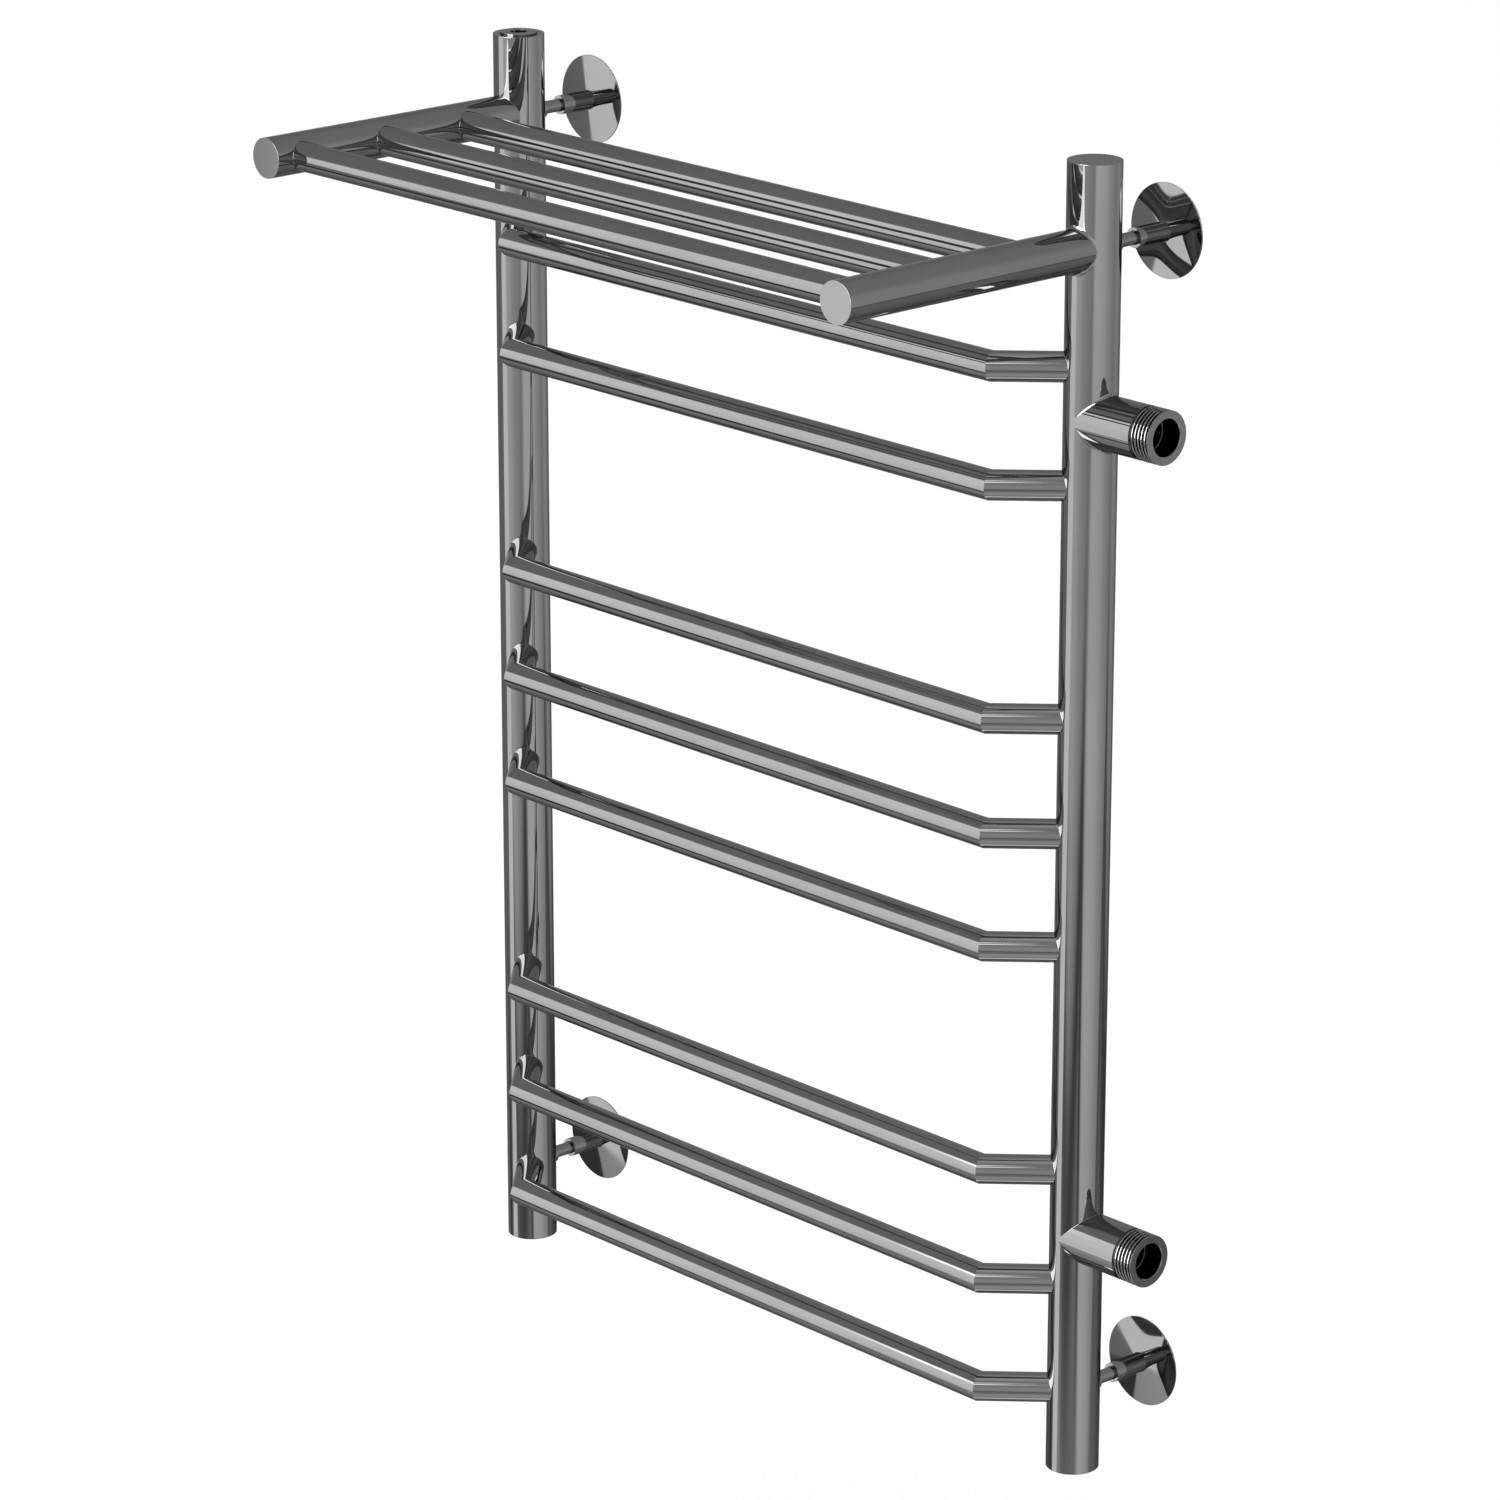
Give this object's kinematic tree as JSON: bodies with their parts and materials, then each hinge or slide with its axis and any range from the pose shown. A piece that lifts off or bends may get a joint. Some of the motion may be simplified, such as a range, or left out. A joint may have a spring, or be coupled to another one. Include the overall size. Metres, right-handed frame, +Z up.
{
  "type": "ladder towel radiator",
  "caption": "Water-heated ladder towel rail with trapezoidal rungs, a tubular shelf, threaded side outlets, telescopic wall brackets and an air-bleed valve.",
  "frame": {"origin": "on the wall plane, midway between the four wall fixings", "axes": "+X to the right seen from the room, +Y into the wall, +Z up"},
  "size_m": [0.588, 0.26, 0.801],
  "materials": {
    "polished_steel": "mirror-polished stainless steel tube",
    "screw_steel": "plain steel",
    "needle_brass": "turned brass",
    "seal_rubber": "matt black rubber"
  },
  "bodies": {
    "wall_brackets": {"bracket_sleeve_upper_left": "polished_steel", "bracket_sleeve_upper_right": "polished_steel", "bracket_sleeve_lower_left": "polished_steel", "bracket_sleeve_lower_right": "polished_steel"},
    "radiator": {"left_post": "polished_steel", "right_post": "polished_steel", "valve_bush": "polished_steel", "right_top_cap": "polished_steel", "left_bottom_cap": "polished_steel", "right_bottom_cap": "polished_steel", "rung_1": "polished_steel", "rung_2": "polished_steel", "rung_3": "polished_steel", "rung_4": "polished_steel", "rung_5": "polished_steel", "rung_6": "polished_steel", "rung_7": "polished_steel", "rung_8": "polished_steel", "rung_1_legs": "polished_steel", "rung_2_legs": "polished_steel", "rung_3_legs": "polished_steel", "rung_4_legs": "polished_steel", "rung_5_legs": "polished_steel", "rung_6_legs": "polished_steel", "rung_7_legs": "polished_steel", "rung_8_legs": "polished_steel", "left_shelf_arm": "polished_steel", "right_shelf_arm": "polished_steel", "left_arm_cap": "polished_steel", "right_arm_cap": "polished_steel", "shelf_rail_rear": "polished_steel", "shelf_rail_middle": "polished_steel", "shelf_rail_front": "polished_steel", "outlet_tube_upper": "polished_steel", "outlet_tube_lower": "polished_steel", "outlet_nipple_upper": "polished_steel", "outlet_nipple_lower": "polished_steel", "bracket_boss_upper_left": "polished_steel", "bracket_boss_upper_right": "polished_steel", "bracket_boss_lower_left": "polished_steel", "bracket_boss_lower_right": "polished_steel", "bracket_stud_upper_left": "polished_steel", "bracket_stud_upper_right": "polished_steel", "bracket_stud_lower_left": "polished_steel", "bracket_stud_lower_right": "polished_steel", "bleed_valve_body": "polished_steel", "bleed_valve_seal": "seal_rubber"},
    "rosette_upper_left": {"rosette_upper_left": "polished_steel"},
    "rosette_upper_right": {"rosette_upper_right": "polished_steel"},
    "rosette_lower_left": {"rosette_lower_left": "polished_steel"},
    "rosette_lower_right": {"rosette_lower_right": "polished_steel"},
    "grub_screw_upper_left": {"grub_screw_upper_left": "screw_steel"},
    "grub_screw_upper_right": {"grub_screw_upper_right": "screw_steel"},
    "grub_screw_lower_left": {"grub_screw_lower_left": "screw_steel"},
    "grub_screw_lower_right": {"grub_screw_lower_right": "screw_steel"},
    "needle_carrier": {"bleed_needle_seal": "seal_rubber"},
    "bleed_needle": {"bleed_needle": "needle_brass"}
  },
  "joints": [
    {"name": "standoff_slide", "type": "slide", "parent": "wall_brackets", "child": "radiator", "axis": [0, 1, 0], "range_m": [-0.008, 0.01]},
    {"name": "rosette_upper_left_slide", "type": "slide", "parent": "wall_brackets", "child": "rosette_upper_left", "axis": [0, -1, 0], "range_m": [0, 0.014]},
    {"name": "rosette_upper_right_slide", "type": "slide", "parent": "wall_brackets", "child": "rosette_upper_right", "axis": [0, -1, 0], "range_m": [0, 0.014]},
    {"name": "rosette_lower_left_slide", "type": "slide", "parent": "wall_brackets", "child": "rosette_lower_left", "axis": [0, -1, 0], "range_m": [0, 0.014]},
    {"name": "rosette_lower_right_slide", "type": "slide", "parent": "wall_brackets", "child": "rosette_lower_right", "axis": [0, -1, 0], "range_m": [0, 0.014]},
    {"name": "grub_screw_upper_left_turn", "type": "hinge", "parent": "wall_brackets", "child": "grub_screw_upper_left", "pos_m": [-0.25, -0.0225, 0.345], "axis": [0, 0, -1], "range_deg": [0, 720]},
    {"name": "grub_screw_upper_right_turn", "type": "hinge", "parent": "wall_brackets", "child": "grub_screw_upper_right", "pos_m": [0.25, -0.0225, 0.345], "axis": [0, 0, -1], "range_deg": [0, 720]},
    {"name": "grub_screw_lower_left_turn", "type": "hinge", "parent": "wall_brackets", "child": "grub_screw_lower_left", "pos_m": [-0.25, -0.0225, -0.355], "axis": [0, 0, -1], "range_deg": [0, 720]},
    {"name": "grub_screw_lower_right_turn", "type": "hinge", "parent": "wall_brackets", "child": "grub_screw_lower_right", "pos_m": [0.25, -0.0225, -0.355], "axis": [0, 0, -1], "range_deg": [0, 720]},
    {"name": "needle_lift", "type": "slide", "parent": "radiator", "child": "needle_carrier", "axis": [0, 0, 1], "range_m": [0, 0.0015]},
    {"name": "needle_turn", "type": "hinge", "parent": "needle_carrier", "child": "bleed_needle", "pos_m": [-0.25, -0.06, 0.39], "axis": [0, 0, 1], "range_deg": [0, 540]}
  ],
  "couplings": [
    {"joint": "needle_turn", "follows": "needle_lift", "rad_per_m": 6283.2}
  ]
}
